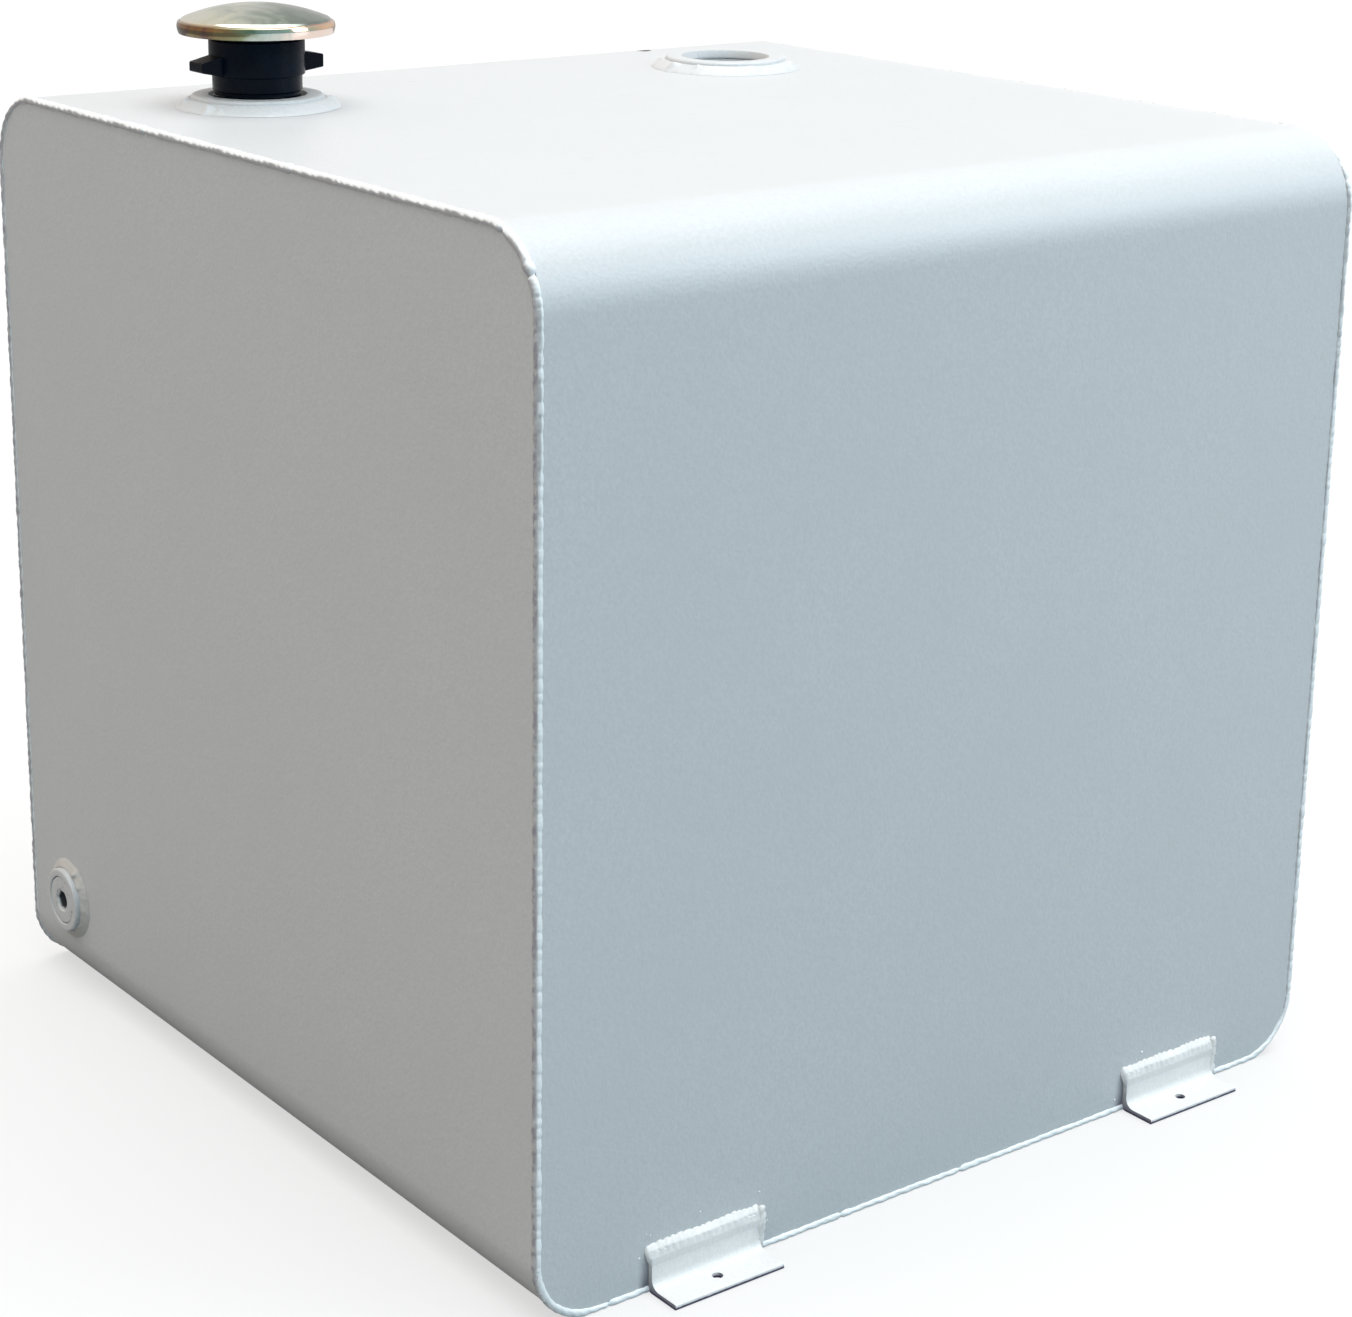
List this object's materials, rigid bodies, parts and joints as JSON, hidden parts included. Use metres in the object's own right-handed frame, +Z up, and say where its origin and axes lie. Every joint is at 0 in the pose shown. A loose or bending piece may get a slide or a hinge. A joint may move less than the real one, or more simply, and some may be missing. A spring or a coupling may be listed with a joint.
{
  "type": "hydraulic reservoir",
  "caption": "Cube-shaped welded steel oil tank with a screwed filler neck and breather cap, an open threaded top port, a socket drain plug and angle feet.",
  "frame": {"origin": "centre of the tank's flat bottom face, where it stands", "axes": "+Z up, -Y out of the front (the side with the two front brackets), +X to the right; the drain is on the -X side"},
  "size_m": [0.6187, 0.6614, 0.6744],
  "materials": {
    "tank_paint": "semi-gloss white enamel with fine orange peel",
    "painted_weld": "semi-gloss white enamel over rippled weld bead",
    "bare_steel": "bare rolled steel, oiled",
    "black_nylon": "moulded black nylon, satin",
    "strainer_wire": "fine woven steel wire",
    "plated_steel": "bright zinc plating with a faint yellow and pink tint",
    "plug_steel": "machined zinc-plated steel",
    "seal_rubber": "matt black nitrile rubber",
    "filter_foam": "open-cell grey-black foam"
  },
  "bodies": {
    "tank": {"top_shell": "tank_paint", "bottom_shell": "tank_paint", "seam_weld_left": "painted_weld", "seam_weld_right": "painted_weld", "seam_weld_front": "painted_weld", "seam_weld_back": "painted_weld", "baffle_plate": "bare_steel", "baffle_weld_front": "bare_steel", "baffle_weld_back": "bare_steel", "filler_flange": "tank_paint", "filler_flange_weld": "painted_weld", "top_port_flange": "tank_paint", "top_port_flange_weld": "painted_weld", "filler_neck": "black_nylon", "strainer_collar": "black_nylon", "strainer_mesh": "strainer_wire", "strainer_end_cap": "black_nylon", "drain_boss": "tank_paint", "drain_boss_weld": "painted_weld", "front_left_bracket": "tank_paint", "front_left_bracket_weld": "painted_weld", "front_right_bracket": "tank_paint", "front_right_bracket_weld": "painted_weld", "rear_left_bracket": "tank_paint", "rear_left_bracket_weld": "painted_weld", "rear_right_bracket": "tank_paint", "rear_right_bracket_weld": "painted_weld"},
    "cap_seal": {"cap_gasket": "seal_rubber"},
    "cap": {"cap_thread_insert": "black_nylon", "cap_base_plate": "plated_steel", "breather_element": "filter_foam", "cap_dome": "plated_steel"},
    "drain_seal": {"drain_plug_seal": "seal_rubber"},
    "drain_plug": {"drain_plug": "plug_steel"}
  },
  "joints": [
    {"name": "cap_rise", "type": "slide", "parent": "tank", "child": "cap_seal", "axis": [0, 0, 1], "range_m": [0, 0.01]},
    {"name": "cap_turn", "type": "hinge", "parent": "cap_seal", "child": "cap", "pos_m": [-0.198, 0.155, 0.66], "axis": [0, 0, 1], "range_deg": [0, 720]},
    {"name": "drain_plug_travel", "type": "slide", "parent": "tank", "child": "drain_seal", "axis": [-1, 0, 0], "range_m": [0, 0.0106]},
    {"name": "drain_plug_turn", "type": "hinge", "parent": "drain_seal", "child": "drain_plug", "pos_m": [-0.305, 0.25, 0.065], "axis": [-1, 0, 0], "range_deg": [0, 1800]}
  ],
  "couplings": [
    {"joint": "cap_rise", "follows": "cap_turn", "m_per_rad": 0.00079577},
    {"joint": "drain_plug_travel", "follows": "drain_plug_turn", "m_per_rad": 0.00033686}
  ]
}
